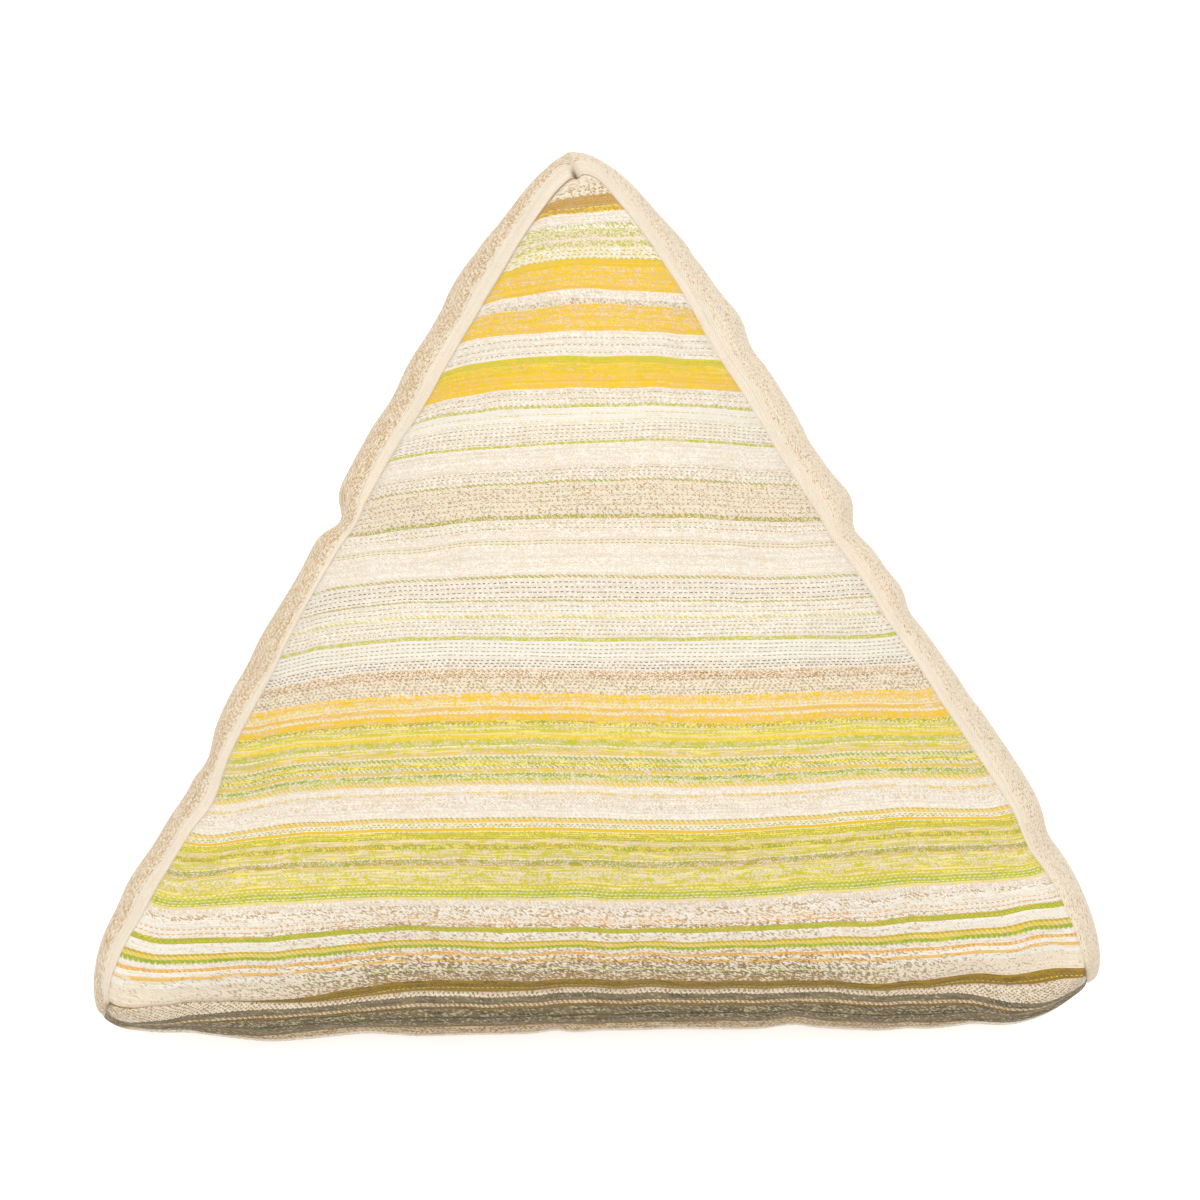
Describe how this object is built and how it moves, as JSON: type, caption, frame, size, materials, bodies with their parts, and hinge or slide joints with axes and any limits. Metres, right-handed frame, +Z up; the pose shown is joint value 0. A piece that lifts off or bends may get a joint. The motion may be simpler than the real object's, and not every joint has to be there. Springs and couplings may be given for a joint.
{
  "type": "triangle throw pillow",
  "caption": "Filled triangular throw pillow with a boxed edge and crowned panels in horizontally striped woven cloth, lying on its back.",
  "frame": {"origin": "centre of the bounding box on the surface that the pillow rests on", "axes": "+Z up, out of the front panel; +Y from the bottom side to the apex; +X along the bottom side, to the right as the front is seen"},
  "size_m": [0.4872, 0.4374, 0.1168],
  "materials": {
    "striped_cloth": "matte heathered weave in cream, beige, amber, yellow-green and olive stripes"
  },
  "bodies": {
    "root": {"cushion": "striped_cloth"}
  },
  "joints": []
}
